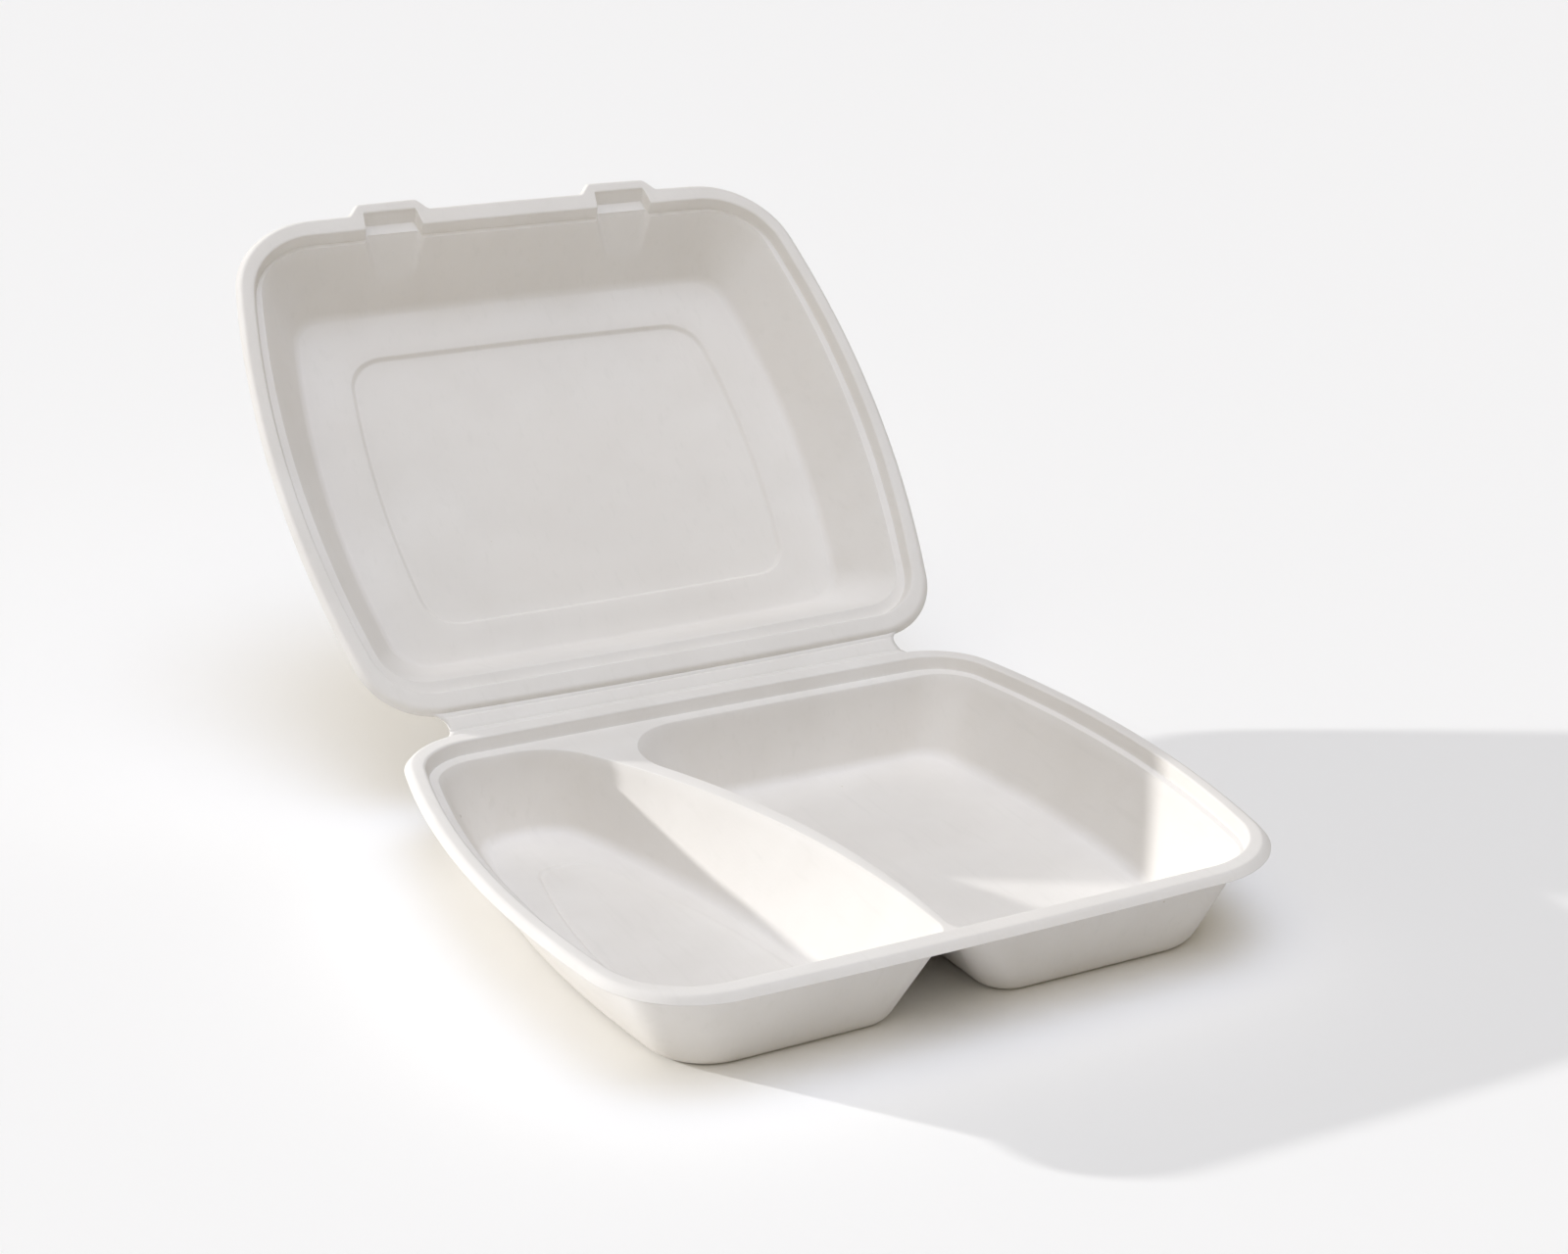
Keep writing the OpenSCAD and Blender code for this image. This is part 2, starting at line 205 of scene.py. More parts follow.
LIP = rim_ring(0.03, 0.03, 0.03, [1.8, 13, 1.2, 13], [27, 27, 21, 21])
EDGE = grown(LIP, -LIP_FLARE)
FLANGE = rim_ring(5.9, 8.5, 8.5, [0.6, 12.2, 0.6, 12.2], [22, 22, 16.5, 16.5])
STEP = rim_ring(7.2, 9.8, 9.8, [0.5, 11.6, 0.6, 11.6], [21, 21, 15.5, 15.5])
WALL = rim_ring(10.2, 11.6, 14.4, [0.3, 10.4, 1.2, 10.4], [17.5, 17.5, 13, 13])
LID_TOP = rim_ring(24.5, 27, 30.5, [0.5, 8, 0.8, 8], [10, 10, 12, 12])
PANEL = ring([[-69, -56.1], [69, -56.1], [69, 56.1], [-69, 56.1]], [0.4, 4.5, 0.4, 4.5], [12, 12, 11, 11])
WALL_FRONT, WALL_FOLD = WALL[0][0][1], WALL[0][3][1]
SMALL_TOP = ring([WALL[0][0], [-7.5, WALL_FRONT], [-56, WALL_FOLD], WALL[0][3]],
                 [0.2, 14.6, 0.6, 10.4], [17.5, 9, 14, 13])
LARGE_TOP = ring([[-5, WALL_FRONT], WALL[0][1], WALL[0][2], [-48.5, WALL_FOLD]],
                 [0.2, 10.4, 0.6, -15.4], [9, 17.5, 13, 37])
SMALL_FOOT = ring([[-85.5, -81], [-21.5, -81], [-55.5, 81], [-85.5, 81]], [0.3, 5.8, 0.4, 9], [15, 8, 11, 11])
LARGE_FOOT = ring([[13.5, -81], [86, -81], [86, 81], [-13, 81]], [0.3, 9, 0.4, -5], [9, 15, 11, 11])
PAD = ring([[-75, -66], [-30.5, -66], [-60.5, 54], [-75, 54]], [0.3, 5.5, 0.2, 6.4], [12, 8, 5, 5])
COMPARTMENTS = ((SMALL_TOP, SMALL_FOOT), (LARGE_TOP, LARGE_FOOT))

# The lip's face: depths below the rim, and how far its rounding takes it in there
LIP_PROFILE = ((2.05, 0.0), (1.6, 0.0), (1.15, 0.0), (0.82, 0.03), (0.55, 0.1), (0.33, 0.22), (0.16, 0.4),
               (0.05, 0.64), (0.0, LIP_ROUND))


# Levels: a ring, its depth below the rim, and how far a lug's lip, recess and channel act there

def level(r, depth, lip=0.0, recess=0.0, channel=0.0):
    return (r, depth, lip, recess, channel)


def lip_face():
    """From the lip's lower edge up its face and on to the flange."""
    out = []
    for depth, inset in LIP_PROFILE:
        out.append(level(grown(between(EDGE, LIP, depth / LIP_HEIGHT), -inset), depth, lip=1))
    return out


def flange_and_step():
    """Across the flange, down the riser and on to the ledge."""
    out = []
    near, far = grown(EDGE, -LIP_ROUND), grown(FLANGE, FLANGE_ROUND)
    for t in (0.2, 0.4, 0.6, 0.8):
        out.append(level(between(near, far, t), 0.0, lip=1 - t, recess=t))
    for k in range(7):
        a = math.radians(15 * k)
        grow = FLANGE_ROUND * (1 - math.sin(a)) - FLANGE_TUCK * math.sin(a)
        out.append(level(grown(FLANGE, grow), FLANGE_ROUND * (1 - math.cos(a)), recess=1))
    for t in (0.35, 0.65, 0.93):
        out.append(level(between(FLANGE, STEP, t), STEP_DEPTH * t, recess=1 - RECESS_LOSS * t))
    for k in range(1, 6):
        a = math.radians(18 * k)
        r = grown(STEP, -LEDGE_ROUND * (1 - math.cos(a)))
        out.append(level(r, STEP_DEPTH - LEDGE_ROUND * (1 - math.sin(a)), recess=1 - RECESS_LOSS))
    return out


def over_the_edge(r, depth, radius, channel=0.0):
    """Convex turn from the flat at depth down into a wall that starts at r."""
    out = []
    for k in range(7):
        a = math.radians(13 * k)
        r_here = grown(r, radius * (1 - math.sin(a)))
        out.append(level(r_here, depth + radius * (1 - math.cos(a)), channel=channel))
    return out


def down_to_foot(top, foot, start, to, grow, radius, rows, channel=0.0):
    """Down a wall from the depth start and round its foot on to the flat at the depth to."""
    walls, turns = rows
    out = []

    def here(depth, inset=0.0):
        share = (depth - STEP_DEPTH) / (to - STEP_DEPTH)
        cut = channel * max(0.0, 1 - (depth - STEP_DEPTH) / (CHANNEL_DEPTH - STEP_DEPTH))
        return level(grown(between(top, foot, share), grow - inset), depth, channel=cut)

    for k in range(walls):
        out.append(here(start + (to - radius - start) * k / walls))
    for k in range(turns + 1):
        a = math.pi / 2 * k / turns
        inset = FOOT_INSET * radius * (1 - math.cos(a)) ** FOOT_CURVE
        out.append(here(to - radius * (1 - math.sin(a)), inset))
    return out


def to_centre(r, depth, steps, centre, tighten=1.0):
    """Rings that shrink from r to the centre, all at one depth."""
    out = []
    for k in range(1, steps + 1):
        left = 1 - k / (steps + 0.6)
        out.append(level([centre + (r[0] - centre) * left, r[1] * left, r[2] * left * tighten], depth))
    return out


def flat_with_rise(foot, middle, depth, rise):
    """Flat floor from its foot inwards, with a soft step of rise at the middle ring, and on to the centre."""
    out = [level(between(foot, grown(middle, RISE_SOFTNESS), t), depth) for t in (0.34, 0.67)]
    for k in range(7):
        t = k / 6
        out.append(level(grown(middle, RISE_SOFTNESS * (1 - 2 * t)), depth + rise * t * t * (3 - 2 * t)))
    return out + to_centre(middle, depth + rise, CENTRE_ROWS, middle[0].mean(0), tighten=0.98)


def flat_with_groove(foot, middle, depth):
    """Flat floor with a pressed line at the middle ring: a short slope down to it and a long one up again."""
    before, after = GROOVE_OUTER_SLOPE + 0.2, GROOVE_INNER_SLOPE + 0.4
    out = [level(between(foot, grown(middle, before), t), depth) for t in (0.34, 0.67, 0.93)]
    for k in range(7):
        t = k / 6
        r = grown(middle, GROOVE_OUTER_SLOPE * (1 - t))
        out.append(level(r, depth + GROOVE * t * t * (3 - 2 * t)))
    for k in range(1, 8):
        t = k / 7
        r = grown(middle, -GROOVE_INNER_SLOPE * t)
        out.append(level(r, depth + GROOVE * (1 - t * t * (3 - 2 * t))))
    return out + to_centre(grown(middle, -after), depth, CENTRE_ROWS, middle[0].mean(0), tighten=0.98)


def flat_to_centre(foot, depth):
    """Flat floor from its foot to the centre."""
    return to_centre(foot, depth, CENTRE_ROWS + 1, foot[0].mean(0))


def under_lip(wall):
    """Round the lip's lower edge and up its back to the hollow under the flange, and down to the ledge."""
    out = []
    half = wall / 2 + 0.02
    for k in range(1, 7):
        a = math.pi * k / 7
        depth = LIP_HEIGHT - LIP_END_ROUND + LIP_END_ROUND * math.sin(a)
        out.append(level(grown(LIP, -half * (1 - math.cos(a))), depth, lip=1))
    for depth in (2.05, 1.7):
        r = grown(between(EDGE, LIP, depth / LIP_HEIGHT), -wall * 0.98)
        out.append(level(r, max(depth, wall + 0.35), lip=1))
    out.append(level(grown(EDGE, -wall - 0.25), wall + 0.12, lip=1))
    near, far = grown(EDGE, -wall - 0.75), grown(FLANGE, wall + UNDER_FLANGE_ROUND)
    for t in (0.0, 0.33, 0.67):
        out.append(level(between(near, far, t), wall, lip=1 - t, recess=t))
    for k in range(5):
        a = math.radians(20 * k)
        r = grown(FLANGE, wall + UNDER_FLANGE_ROUND * (1 - math.sin(a)))
        out.append(level(r, wall + UNDER_FLANGE_ROUND * (1 - math.cos(a)), recess=1))
    for t in (0.5, 0.75):
        r = grown(between(FLANGE, STEP, t), wall)
        out.append(level(r, wall + STEP_DEPTH * t, recess=1 - RECESS_LOSS * t))
    for k in range(1, 6):
        a = math.radians(18 * k)
        r = grown(STEP, wall - (1 - math.cos(a)))
        out.append(level(r, STEP_DEPTH + wall - (1 - math.sin(a)), recess=1 - RECESS_LOSS))
    return out


def under_ledge(top, foot, to, wall, channels=(0.0, 0.0, 0.0)):
    """Concave turn from the ledge's underside down on to the outside of a wall."""
    out = []
    for (grow, drop), channel in zip(UNDER_LEDGE_ROUND, channels):
        depth = STEP_DEPTH + wall + drop
        r = between(top, foot, (depth - STEP_DEPTH) / (to - STEP_DEPTH))
        out.append(level(grown(r, wall * SLANTED + grow), depth, channel=channel))
    return out


# Lugs on the lid's front edge

def soft_step(d, full, none):
    s = np.clip((none - d) / (none - full), 0, 1)
    return s * s * (3 - 2 * s)


def lug_shift(x, depth, lip, recess, channel, thick):
    """How far a lug carries a point of the front side outwards."""
    d = np.abs(np.abs(x) - LUG_PLACE)
    lean = min(1.0, depth / STEP_DEPTH)
    half = RECESS_HALF_WIDTH - 0.5 * lean + thick
    share = min(1.0, max(0.0, (depth - STEP_DEPTH) / (CHANNEL_DEPTH - STEP_DEPTH)))
    groove = CHANNEL_HALF_WIDTH - CHANNEL_TAPER * share + thick
    return (LUG_REACH * lip * soft_step(d, 10.6, 16.2)
            + RECESS_REACH * recess * soft_step(d, half - 0.6, half + 0.7)
            + CHANNEL_REACH * channel * soft_step(d, groove - 0.5, groove + 1.5))


# Points along the lid's front side, closest together at the edges of a lug
FROM_LUG = (0, 1.4, 2.8, 4.2, 5.4, 6.3, 7.1, 7.8, 8.4, 8.9, 9.2, 9.5, 9.8, 10.1, 10.4, 10.7, 11.0, 11.4, 11.9,
            12.6, 13.4, 14.3, 15.2, 16.2, 17.5, 19.5)
AT_LUGS = {round(side * (LUG_PLACE + d), 3) for side in (-1, 1) for away in FROM_LUG for d in (-away, away)}
MID_FRONT = {round(4.7 * k, 3) for k in range(-5, 6)}
FRONT = np.array(sorted(AT_LUGS | MID_FRONT))
FRONT_ZONE = 70


def placed(levels, front=None, thick=0.0):
    """Rows of points, x, y and depth, for a stack of levels."""
    rows = []
    for r, depth, lip, recess, channel in levels:
        o = outline(r, front)
        if front is not None and (lip or recess or channel):
            near = (o[:, 1] < -FRONT_ZONE) & (np.abs(o[:, 0]) < FRONT_ZONE)
            o[near, 1] -= lug_shift(o[near, 0], depth, lip, recess, channel, thick)
        rows.append(np.column_stack([o, np.full(len(o), depth)]))
    return rows


# Meshes

def band(start, rows, turned=False):
    """Faces between successive rows of points, the first row starting at start."""
    n = len(rows[0])
    faces = []
    for k in range(len(rows) - 1):
        a, b = start + k * n, start + (k + 1) * n
        for i in range(n):
            j = (i + 1) % n
            f = (a + i, b + i, b + j, a + j)
            faces.append(f[::-1] if turned else f)
    return faces


def warp(points):
    """The slight unevenness of a dried moulding: none down to 6 mm below the rim, all of it from 16 mm."""
    x, y, z = points.T / 1000
    waves = np.sin(61 * x + 2.1 * np.sin(43 * y)) + np.sin(53 * y + 1.7 * np.sin(37 * x) + 0.6)
    return UNEVENNESS * waves * np.clip((points[:, 2] - 6) / 10, 0, 1)


def metres(points):
    """From millimetres in the tray's frame to metres in the row's frame."""
    p = np.array(points, float)
    p[:, 1] -= ORIGIN_BACK
    return p / 1000


def open_lid(points):
    """The closed lid's points, turned open about the fold."""
    a = math.radians(-LID_ANGLE)
    y, z = points[:, 1] - FOLD_LINE[0], points[:, 2] - FOLD_LINE[1]
    out = points.copy()
    out[:, 1] = FOLD_LINE[0] + math.cos(a) * y - math.sin(a) * z
    out[:, 2] = FOLD_LINE[1] + math.sin(a) * y + math.cos(a) * z
    return out


def make_piece(name, points, faces):
    """A mesh object at the origin from points in metres, with its doubles merged."""
    mesh = bpy.data.meshes.new(name)
    mesh.from_pydata([tuple(p) for p in points], [], faces)
    skin = bmesh.new()
    skin.from_mesh(mesh)
    bmesh.ops.remove_doubles(skin, verts=skin.verts, dist=1e-6)
    skin.to_mesh(mesh)
    skin.free()
    mesh.validate()
    mesh.shade_smooth()
    obj = bpy.data.objects.new(name, mesh)
    bpy.context.scene.collection.objects.link(obj)
    return obj


def mould_lid():
    """The lid: one closed skin from the centre of its inside, over the rim, to the centre of its outside."""
    inside = lip_face() + flange_and_step()
    for t in (0.25, 0.5, 0.75):
        ledge = between(grown(STEP, -LEDGE_ROUND), grown(WALL, LID_EDGE_ROUND), t)
        inside.append(level(ledge, STEP_DEPTH, recess=(1 - RECESS_LOSS) * (1 - t), channel=t))
    inside += over_the_edge(WALL, STEP_DEPTH, LID_EDGE_ROUND, channel=1)
    start = STEP_DEPTH + LID_WALL_START
    inside += down_to_foot(WALL, LID_TOP, start, LID_DEPTH, 0, LID_FOOT_ROUND, LID_ROWS, channel=1)
    inside += flat_with_rise(grown(LID_TOP, -FOOT_INSET * LID_FOOT_ROUND), PANEL, LID_DEPTH, PANEL_RISE)

    out_wall = LID_WALL * SLANTED
    out_round = LID_FOOT_ROUND + OUTER_ROUND
    base = LID_DEPTH + LID_WALL
    outside = under_lip(LID_WALL)
    outside += under_ledge(WALL, LID_TOP, LID_DEPTH, LID_WALL, channels=(0.94, 0.93, 0.915))
    start = STEP_DEPTH + LID_WALL + WALL_START
    outside += down_to_foot(WALL, LID_TOP, start, base, out_wall, out_round, LID_ROWS, channel=1)
    top = grown(LID_TOP, out_wall - FOOT_INSET * out_round)
    outside += flat_with_rise(top, grown(PANEL, 0.8), base, PANEL_RISE)

    rows = placed(inside, FRONT)[::-1] + placed(outside, FRONT, LID_WALL)
    n = len(rows[0])
    faces = band(0, rows, turned=True)
    points = np.vstack(rows + [rows[0].mean(0), rows[-1].mean(0)])
    a, b, z = len(points) - 2, len(points) - 1, (len(rows) - 1) * n
    faces += [(a, (i + 1) % n, i) for i in range(n)]
    faces += [(b, z + i, z + (i + 1) % n) for i in range(n)]
    points[:, 2] += warp(points)
    points[:, 2] += TRAY_HEIGHT + CLOSED_GAP
    return make_piece("lid_shell", metres(open_lid(points)), faces)


def within(loop, points):
    """Which of the points lie inside a closed loop."""
    a, b = loop, np.roll(loop, -1, 0)
    x, y = points[:, 0][:, None], points[:, 1][:, None]
    spans = (a[:, 1] > y) != (b[:, 1] > y)
    rise = np.where(b[:, 1] == a[:, 1], 1e-9, b[:, 1] - a[:, 1])
    hits = spans & (x < (b[:, 0] - a[:, 0]) * (y - a[:, 1]) / rise + a[:, 0])
    return hits.sum(1) % 2 == 1


def plate_with_holes(edge, holes):
    """Triangles of the flat between an edge loop and the holes in it."""
    loops = [edge] + holes
    points = np.vstack(loops)
    edges = []
    start = 0
    for loop in loops:
        n = len(loop)
        edges += [(start + i, start + (i + 1) % n) for i in range(n)]
        start += n
    made = delaunay_2d_cdt([Vector(p) for p in points], edges, [], 0, 1e-5, True)
    places = np.array([tuple(v) for v in made[0]])
    tris = np.array(made[2])
    mid = places[tris].mean(1)
    keep = within(edge, mid)
    for hole in holes:
        keep &= ~within(hole, mid)
    tris = tris[keep]
    a, b, c = places[tris[:, 0]], places[tris[:, 1]], places[tris[:, 2]]
    area = (b[:, 0] - a[:, 0]) * (c[:, 1] - a[:, 1]) - (b[:, 1] - a[:, 1]) * (c[:, 0] - a[:, 0])
    tris[area < 0] = tris[area < 0][:, ::-1]
    return places, tris


def fade_groove(rows, depth):
    """Leave the pressed line deep along the left, and take most of it away within 14 mm from there."""
    for row in rows:
        away = np.clip((row[:, 0] + 68) / 14, 0, 1)
        low = row[:, 2] > depth
        row[low, 2] = depth + (row[low, 2] - depth) * (1 - 0.85 * away[low])


def compartment_inside(top, foot):
    """Rows from the ledge down a compartment's wall and over its floor."""
    depth = TRAY_HEIGHT - TRAY_WALL
    levels = over_the_edge(top, STEP_DEPTH, TRAY_EDGE_ROUND)
    levels += down_to_foot(top, foot, STEP_DEPTH + WALL_START, depth, 0, FOOT_ROUND, TRAY_ROWS)
    flat = grown(foot, -FOOT_INSET * FOOT_ROUND)
    if foot is not SMALL_FOOT:
        return placed(levels + flat_to_centre(flat, depth))
    rows = placed(levels + flat_with_groove(flat, PAD, depth))
    fade_groove(rows, depth)
    return rows


def compartment_outside(top, foot):
    """Rows from the ledge's underside down a compartment's outer wall and over its base."""
    out_wall = TRAY_WALL * SLANTED
    out_round = FOOT_ROUND + OUTER_ROUND
    levels = under_ledge(top, foot, TRAY_HEIGHT, TRAY_WALL)
    start = STEP_DEPTH + TRAY_WALL + WALL_START
    levels += down_to_foot(top, foot, start, TRAY_HEIGHT, out_wall, out_round, TRAY_ROWS)
    flat = grown(foot, out_wall - FOOT_INSET * out_round)
    if foot is SMALL_FOOT:
        levels += flat_with_rise(flat, grown(PAD, -0.4), TRAY_HEIGHT, -PAD_RISE)
    else:
        levels += flat_to_centre(flat, TRAY_HEIGHT)
    return placed(levels)


def mould_tray():
    """The tray: the rim's skin, the flats round the two compartments, and their walls and floors."""
    points, faces = [], []
    count = 0

    def add(new_points, new_faces):
        nonlocal count
        points.append(new_points)
        faces.extend(new_faces)
        count += len(new_points)

    def add_basin(rows, turned):
        """A band of rows, closed with a fan at its centre."""
        n = len(rows[0])
        last = count + (len(rows) - 1) * n
        fan = [(last + n, last + (i + 1) % n, last + i) for i in range(n)]
        closing = [f[::-1] if turned else f for f in fan]
        add(np.vstack(rows + [rows[-1].mean(0)]), band(count, rows, turned) + closing)

    def add_plate(edge, holes, depth, facing_up):
        places, tris = plate_with_holes(edge[:, :2], [h[:, :2] for h in holes])
        plate = [tuple(int(i) + count for i in t) for t in tris]
        plate = [f if facing_up else f[::-1] for f in plate]
        add(np.column_stack([places, np.full(len(places), depth)]), plate)

    rim = placed(lip_face() + flange_and_step())
    under = placed(under_lip(TRAY_WALL))
    skin = rim[::-1] + under
    add(np.vstack(skin), band(0, skin))
    for build, edge, depth, inside in ((compartment_inside, rim[-1], STEP_DEPTH, True),
                                       (compartment_outside, under[-1], STEP_DEPTH + TRAY_WALL, False)):
        holes = []
        for top, foot in COMPARTMENTS:
            rows = build(top, foot)
            holes.append(rows[0])
            add_basin(rows, inside)
        add_plate(edge, holes, depth, inside)
    points = np.vstack(points)
    uneven = warp(points)
    standing = points[:, 2] > TRAY_HEIGHT - 0.1
    points[:, 2] = np.minimum(points[:, 2] + np.where(standing, -np.abs(uneven), uneven), TRAY_HEIGHT)
    points[:, 2] = TRAY_HEIGHT - points[:, 2]
    return make_piece("tray_shell", metres(points), faces)


def rim_line(x):
    """Where the lip's outer edge lies at the fold, for places x across the box."""
    o = outline(LIP)
    o = o[o[:, 1] > 80]
    o = o[np.argsort(o[:, 0])]
    return np.interp(x, o[:, 0], o[:, 1])


def fold_strip():
    """The strip of fibre between the two rims: one sheet, drawn straight from the tray's lip to the open
    lid's, with a slight sag and two pressed lines.
    """
    steps, across = 60, 90
    low = LIP_HEIGHT - 0.15
    rows_up, rows_down = [], []
    for s in np.linspace(0, 1, steps + 1):
        from_rim = min(s, 1 - s) * FOLD_WIDTH
        half = FOLD_HALF_WIDTH
        if from_rim < FOLD_FILLET:
            half += FOLD_FILLET - math.sqrt(FOLD_FILLET ** 2 - (FOLD_FILLET - from_rim) ** 2)
        x = np.linspace(-half, half, across + 1)
        y = rim_line(x) - 0.5
        root = np.column_stack([x, y, np.full(len(x), TRAY_HEIGHT - low)])
        top = open_lid(np.column_stack([x, y, np.full(len(x), TRAY_HEIGHT + CLOSED_GAP + low)]))
        d = top[0, 1:] - root[0, 1:]
        d = d / np.hypot(*d)
        normal = np.array([0, -d[1], d[0]])
        w = FOLD_WIDTH * s
        pressed = 0.3 * sum(math.exp(-((w - line) / 0.45) ** 2) for line in FOLD_PRESSED)
        p = root * (1 - s) + top * s - normal * (FOLD_SAG * math.sin(math.pi * s) + pressed)
        rows_down.append(p)
        rows_up.append(p + normal * FOLD_WALL)
    n = across + 1
    under = len(rows_up) * n
    faces = []
    for k in range(steps):
        for i in range(across):
            a, b = k * n + i, (k + 1) * n + i
            faces.append((a, a + 1, b + 1, b))
            faces.append((under + a, under + b, under + b + 1, under + a + 1))
        a, b = k * n, (k + 1) * n
        faces.append((a, b, under + b, under + a))
        a, b = k * n + across, (k + 1) * n + across
        faces.append((a, under + a, under + b, b))
    for i in range(across):
        faces.append((i, under + i, under + i + 1, i + 1))
        a = steps * n + i
        faces.append((a, a + 1, under + a + 1, under + a))
    return make_piece("fold_strip", metres(np.vstack(rows_up + rows_down)), faces)


# Material

CLOUD_COLOURS = ((0.8, 0.772, 0.735), (0.845, 0.82, 0.787))
WARM_PATCH = (0.825, 0.785, 0.735)
STRAND_GAP = (0.765, 0.74, 0.70)
FLECK = (0.5, 0.42, 0.3)
SPECK = (0.5, 0.47, 0.42)
SPECK_PLACE = (-0.0932, -0.0064, 0.0154)
BLACK, WHITE = (0, 0, 0), (1, 1, 1)
STRANDS = (((0.2, 0.4, 0.3), 1.0), ((1.3, 0.2, 1.4), 1.15), ((0.5, 1.2, 2.3), 0.9))


def pulp():
    """Bleached plant fibre: matt, off-white, with a fine felted grain, faint clouds and a few flecks."""
    mat = bpy.data.materials.new("bleached_pulp")
    mat.use_nodes = True
    nodes, links = mat.node_tree.nodes, mat.node_tree.links
    bsdf = nodes["Principled BSDF"]
    bsdf.inputs["Roughness"].default_value = 0.86
    bsdf.inputs["Specular IOR Level"].default_value = 0.32
    place = nodes.new("ShaderNodeTexCoord").outputs["Object"]

    def noise(scale, detail, roughness=0.5, stretch=None, turn=None):
        n = nodes.new("ShaderNodeTexNoise")
        n.inputs["Scale"].default_value = scale
        n.inputs["Detail"].default_value = detail
        n.inputs["Roughness"].default_value = roughness
        source = place
        if stretch:
            m = nodes.new("ShaderNodeMapping")
            m.inputs["Scale"].default_value = stretch
            m.inputs["Rotation"].default_value = turn
            links.new(place, m.inputs["Vector"])
            source = m.outputs["Vector"]
        links.new(source, n.inputs["Vector"])
        return n.outputs["Fac"]

    def ramp(fac, *stops):
        r = nodes.new("ShaderNodeValToRGB")
        for slot, (at, colour) in zip(r.color_ramp.elements, stops):
            slot.position = at
            slot.color = (*colour, 1)
        links.new(fac, r.inputs["Fac"])
        return r.outputs["Color"]

    def tinted(fac, base, colour):
        """The base, with a colour mixed in where fac says."""
        m = nodes.new("ShaderNodeMix")
        m.data_type = "RGBA"
        links.new(fac, m.inputs[0])
        links.new(base, m.inputs[6])
        m.inputs[7].default_value = (*colour, 1)
        return m.outputs[2]

    def maths(kind, a, b):
        m = nodes.new("ShaderNodeMath")
        m.operation = kind
        for value, socket in ((a, m.inputs[0]), (b, m.inputs[1])):
            if isinstance(value, (int, float)):
                socket.default_value = value
            else:
                links.new(value, socket)
        return m.outputs[0]

    def vector(kind, source, value=None):
        m = nodes.new("ShaderNodeVectorMath")
        m.operation = kind
        links.new(source, m.inputs[0])
        if value:
            m.inputs[1].default_value = value
        return m.outputs

    base = ramp(noise(34, 4), (0.3, CLOUD_COLOURS[0]), (0.7, CLOUD_COLOURS[1]))
    warm = ramp(noise(9, 2), (0.42, BLACK), (0.72, WHITE))
    base = tinted(maths("MULTIPLY", warm, 0.5), base, WARM_PATCH)
    strands = [noise(420 * finer, 2, 0.6, (1, 0.09, 0.5), turn) for turn, finer in STRANDS]
    felt = maths("DIVIDE", maths("ADD", maths("ADD", strands[0], strands[1]), strands[2]), 3)
    grain = ramp(felt, (0.36, BLACK), (0.46, WHITE))
    base = tinted(maths("MULTIPLY", maths("SUBTRACT", 1, grain), 0.3), base, STRAND_GAP)
    cells = nodes.new("ShaderNodeTexVoronoi")
    cells.inputs["Scale"].default_value = 75
    links.new(place, cells.inputs["Vector"])
    near = ramp(cells.outputs["Distance"], (0.016, WHITE), (0.03, BLACK))
    chosen = ramp(noise(60, 0), (0.66, BLACK), (0.68, WHITE))
    base = tinted(maths("MULTIPLY", maths("MULTIPLY", near, chosen), 0.6), base, FLECK)
    offset = vector("SUBTRACT", place, SPECK_PLACE)["Vector"]
    away = vector("LENGTH", vector("MULTIPLY", offset, (0.3, 1, 1.6))["Vector"])["Value"]
    speck = ramp(maths("MULTIPLY", away, 100), (0.05, WHITE), (0.1, BLACK))
    base = tinted(maths("MULTIPLY", speck, 0.6), base, SPECK)
    links.new(base, bsdf.inputs["Base Color"])

    height = maths("ADD", maths("MULTIPLY", felt, 0.9), maths("MULTIPLY", noise(1300, 3, 0.6), 0.35))
    height = maths("ADD", height, maths("MULTIPLY", noise(160, 2), 0.7))
    bump = nodes.new("ShaderNodeBump")
    bump.inputs["Strength"].default_value = 0.35
    bump.inputs["Distance"].default_value = 0.00022
    links.new(height, bump.inputs["Height"])
    links.new(bump.outputs["Normal"], bsdf.inputs["Normal"])
    return mat


# Studio, in metres

FLOOR_REACH = 90
FLOOR_COLOUR = (0.95, 0.94, 0.922, 1)

# The sky's colour by the sine of the height, how many degrees its bright cap leans forward, and its strength
SKY = ((0.62, (0.016, 0.012, 0.006)), (0.75, (0.19, 0.169, 0.11)), (0.9, (0.355, 0.345, 0.35)),
       (1.0, (0.66, 0.755, 0.965)))
SKY_LEAN = 12
SKY_STRENGTH = 3.9

# Name, degrees round from straight behind, degrees up, energy, and spread in degrees
SUNS = (("low_sun", -46, 15, 2.36, 1.5), ("soft_left", -100, 20, 0.44, 60))

CAMERA_PLACE = (-0.337, -0.6369 - ORIGIN_BACK / 1000, 0.3547)
CAMERA_AZIMUTH = -26.859
CAMERA_ELEVATION = 20.21
LENS = 58.213


def floor():
    """Plain white floor."""
    e = FLOOR_REACH
    mesh = bpy.data.meshes.new("floor")
    mesh.from_pydata([(-e, -e, 0), (e, -e, 0), (e, e, 0), (-e, e, 0)], [], [(0, 1, 2, 3)])
    obj = bpy.data.objects.new("floor", mesh)
    bpy.context.scene.collection.objects.link(obj)
    mat = bpy.data.materials.new("floor_white")
    mat.use_nodes = True
    bsdf = mat.node_tree.nodes["Principled BSDF"]
    bsdf.inputs["Base Color"].default_value = FLOOR_COLOUR
    bsdf.inputs["Roughness"].default_value = 0.95
    obj.data.materials.append(mat)


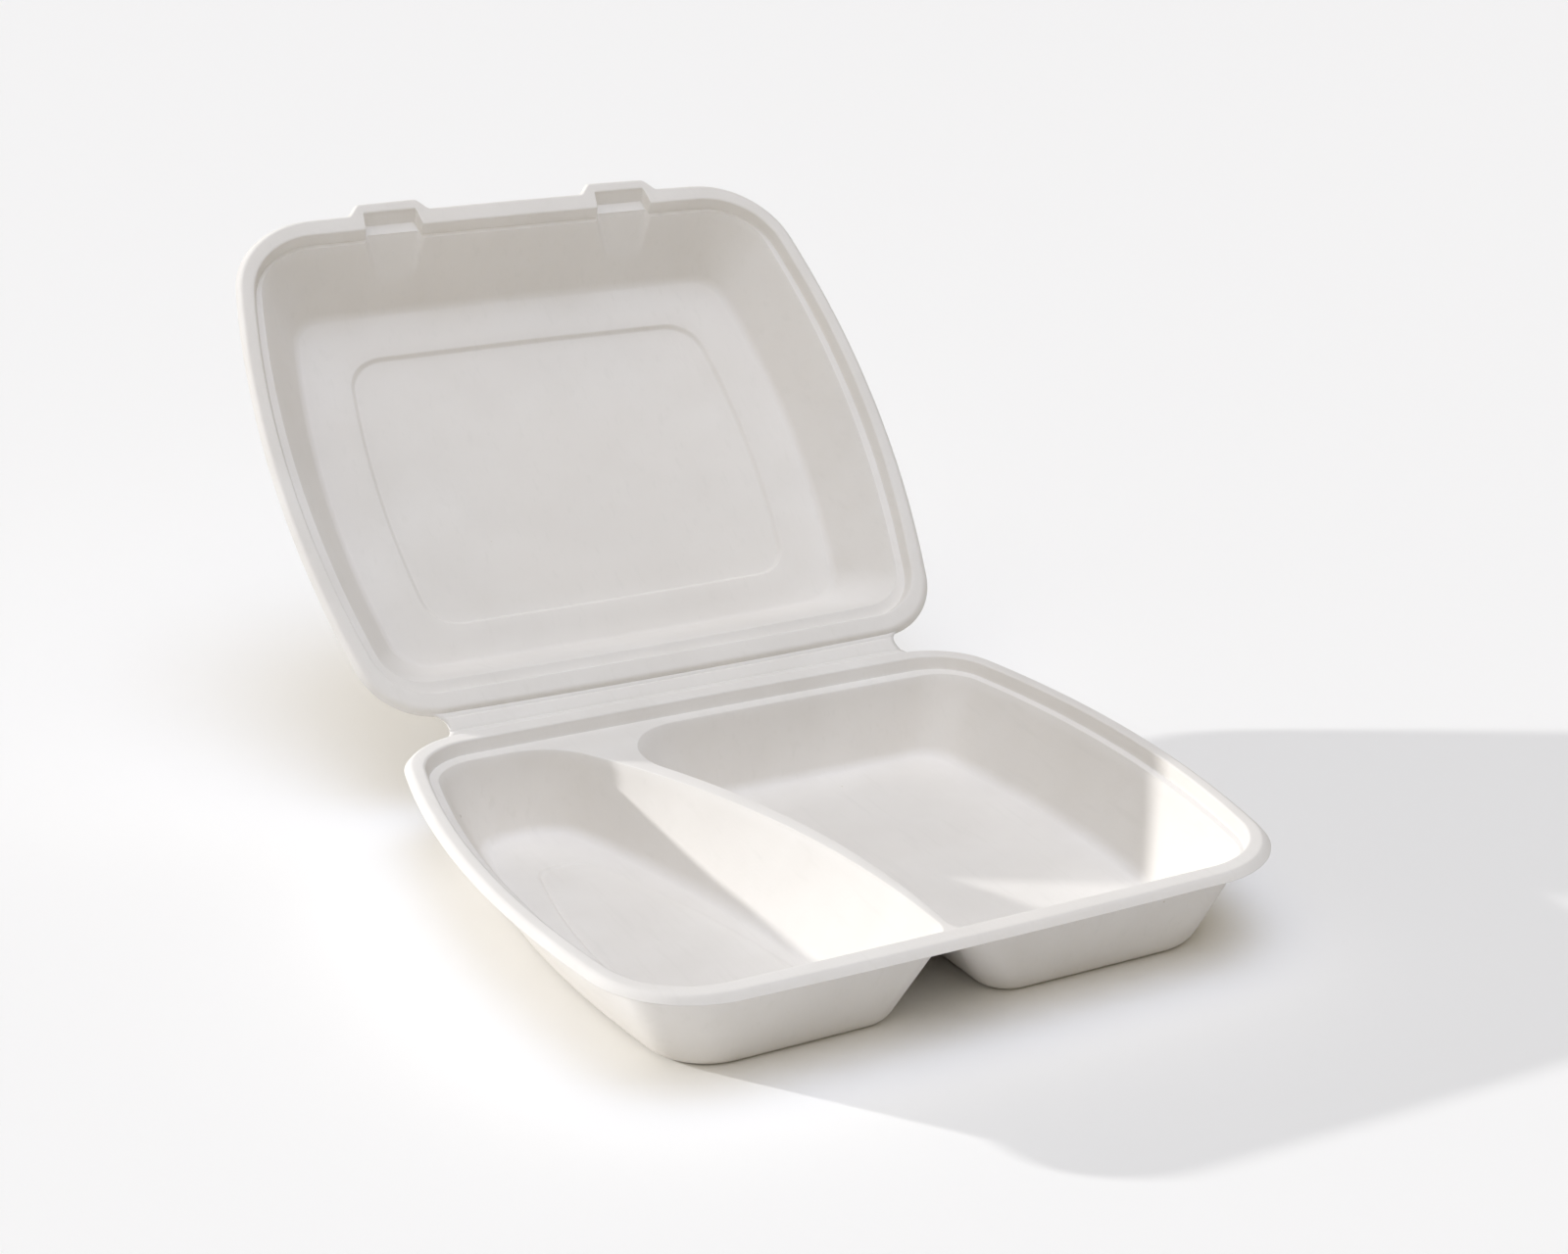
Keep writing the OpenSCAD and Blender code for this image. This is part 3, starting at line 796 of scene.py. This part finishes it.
def sky():
    """A sky that is brightest overhead, with its bright cap leaning towards the front."""
    world = bpy.data.worlds.new("room")
    world.use_nodes = True
    nodes, links = world.node_tree.nodes, world.node_tree.links
    lean = nodes.new("ShaderNodeMapping")
    lean.inputs["Rotation"].default_value = (math.radians(-SKY_LEAN), 0, 0)
    links.new(nodes.new("ShaderNodeTexCoord").outputs["Generated"], lean.inputs["Vector"])
    split = nodes.new("ShaderNodeSeparateXYZ")
    links.new(lean.outputs["Vector"], split.inputs[0])
    ramp = nodes.new("ShaderNodeValToRGB")
    stops = ramp.color_ramp.elements
    for height, _ in SKY[1:-1]:
        stops.new(height)
    for stop, (height, colour) in zip(stops, SKY):
        stop.position = height
        stop.color = (*colour, 1)
    links.new(split.outputs["Z"], ramp.inputs["Fac"])
    links.new(ramp.outputs["Color"], nodes["Background"].inputs["Color"])
    nodes["Background"].inputs["Strength"].default_value = SKY_STRENGTH
    bpy.context.scene.world = world


def suns():
    """A low sun from behind on the left, and a soft light from the left."""
    for name, side, height, energy, spread in SUNS:
        data = bpy.data.lights.new(name, "SUN")
        data.energy = energy
        data.angle = math.radians(spread)
        obj = bpy.data.objects.new(name, data)
        a, e = math.radians(side), math.radians(height)
        towards = Vector((math.sin(a) * math.cos(e), math.cos(a) * math.cos(e), math.sin(e)))
        obj.rotation_euler = towards.to_track_quat("Z", "Y").to_euler()
        bpy.context.scene.collection.objects.link(obj)


def camera():
    """The photo's viewpoint: front left of the box and above it."""
    az, el = math.radians(CAMERA_AZIMUTH), math.radians(CAMERA_ELEVATION)
    ahead = Vector((math.sin(-az) * math.cos(el), math.cos(az) * math.cos(el), -math.sin(el)))
    right = ahead.cross(Vector((0, 0, 1))).normalized()
    up = right.cross(ahead)
    data = bpy.data.cameras.new("camera")
    data.sensor_width = 36
    data.lens = LENS
    obj = bpy.data.objects.new("camera", data)
    turn = Matrix((right, up, -ahead)).transposed().to_4x4()
    obj.matrix_world = Matrix.Translation(CAMERA_PLACE) @ turn
    bpy.context.scene.collection.objects.link(obj)
    bpy.context.scene.camera = obj


camera()
sky()
suns()
bpy.context.scene.view_settings.view_transform = "Standard"
floor()
fibre = pulp()
tray = mould_tray()
lid = mould_lid()
strip = fold_strip()
for piece in (tray, lid, strip):
    piece.data.materials.append(fibre)
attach(tray, "tray")
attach(lid, "lid")
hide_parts("tray")
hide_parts("lid")
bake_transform(strip)
